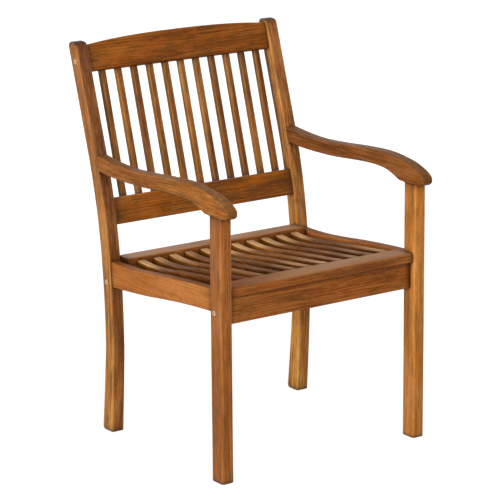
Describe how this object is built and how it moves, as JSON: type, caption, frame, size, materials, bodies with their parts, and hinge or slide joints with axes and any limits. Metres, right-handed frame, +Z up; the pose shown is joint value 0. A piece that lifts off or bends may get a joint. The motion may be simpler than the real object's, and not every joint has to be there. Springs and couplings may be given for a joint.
{
  "type": "garden armchair",
  "caption": "Slat-backed hardwood garden armchair with swept back legs, scrolled armrests and a dished slatted seat.",
  "frame": {"origin": "middle of the chair's bounding box, on the floor", "axes": "+X across the chair to the right of someone who stands in front of it, +Y from front to back, +Z up"},
  "size_m": [0.56, 0.6232, 0.895],
  "materials": {
    "leg_wood": "oiled, satin",
    "arm_wood": "oiled, satin",
    "rail_wood": "oiled, satin",
    "seat_wood": "oiled, worn satin",
    "back_wood": "oiled, satin",
    "zinc_steel": "zinc plated",
    "dowel_beech": "plain"
  },
  "bodies": {
    "root": {"back_leg_left": "leg_wood", "front_leg_left": "leg_wood", "armrest_left": "arm_wood", "seat_side_rail_left": "rail_wood", "back_leg_right": "leg_wood", "front_leg_right": "leg_wood", "armrest_right": "arm_wood", "seat_side_rail_right": "rail_wood", "front_rail": "rail_wood", "rear_rail": "rail_wood", "seat_front_board": "seat_wood", "seat_rear_board": "seat_wood", "crest_rail": "back_wood", "lower_back_rail": "back_wood", "seat_slat_01": "seat_wood", "back_slat_01": "back_wood", "seat_slat_02": "seat_wood", "back_slat_02": "back_wood", "seat_slat_03": "seat_wood", "back_slat_03": "back_wood", "seat_slat_04": "seat_wood", "back_slat_04": "back_wood", "seat_slat_05": "seat_wood", "back_slat_05": "back_wood", "seat_slat_06": "seat_wood", "back_slat_06": "back_wood", "seat_slat_07": "seat_wood", "back_slat_07": "back_wood", "seat_slat_08": "seat_wood", "back_slat_08": "back_wood", "seat_slat_09": "seat_wood", "back_slat_09": "back_wood", "seat_slat_10": "seat_wood", "back_slat_10": "back_wood", "seat_slat_11": "seat_wood", "back_slat_11": "back_wood", "front_rail_bolt_left": "zinc_steel", "front_rail_nut_left": "zinc_steel", "front_rail_dowel_left": "dowel_beech", "front_rail_bolt_right": "zinc_steel", "front_rail_nut_right": "zinc_steel", "front_rail_dowel_right": "dowel_beech", "rear_rail_bolt_left": "zinc_steel", "rear_rail_nut_left": "zinc_steel", "rear_rail_dowel_left": "dowel_beech", "rear_rail_bolt_right": "zinc_steel", "rear_rail_nut_right": "zinc_steel", "rear_rail_dowel_right": "dowel_beech", "crest_rail_bolt_left": "zinc_steel", "crest_rail_nut_left": "zinc_steel", "crest_rail_dowel_left": "dowel_beech", "crest_rail_bolt_right": "zinc_steel", "crest_rail_nut_right": "zinc_steel", "crest_rail_dowel_right": "dowel_beech"}
  },
  "joints": []
}
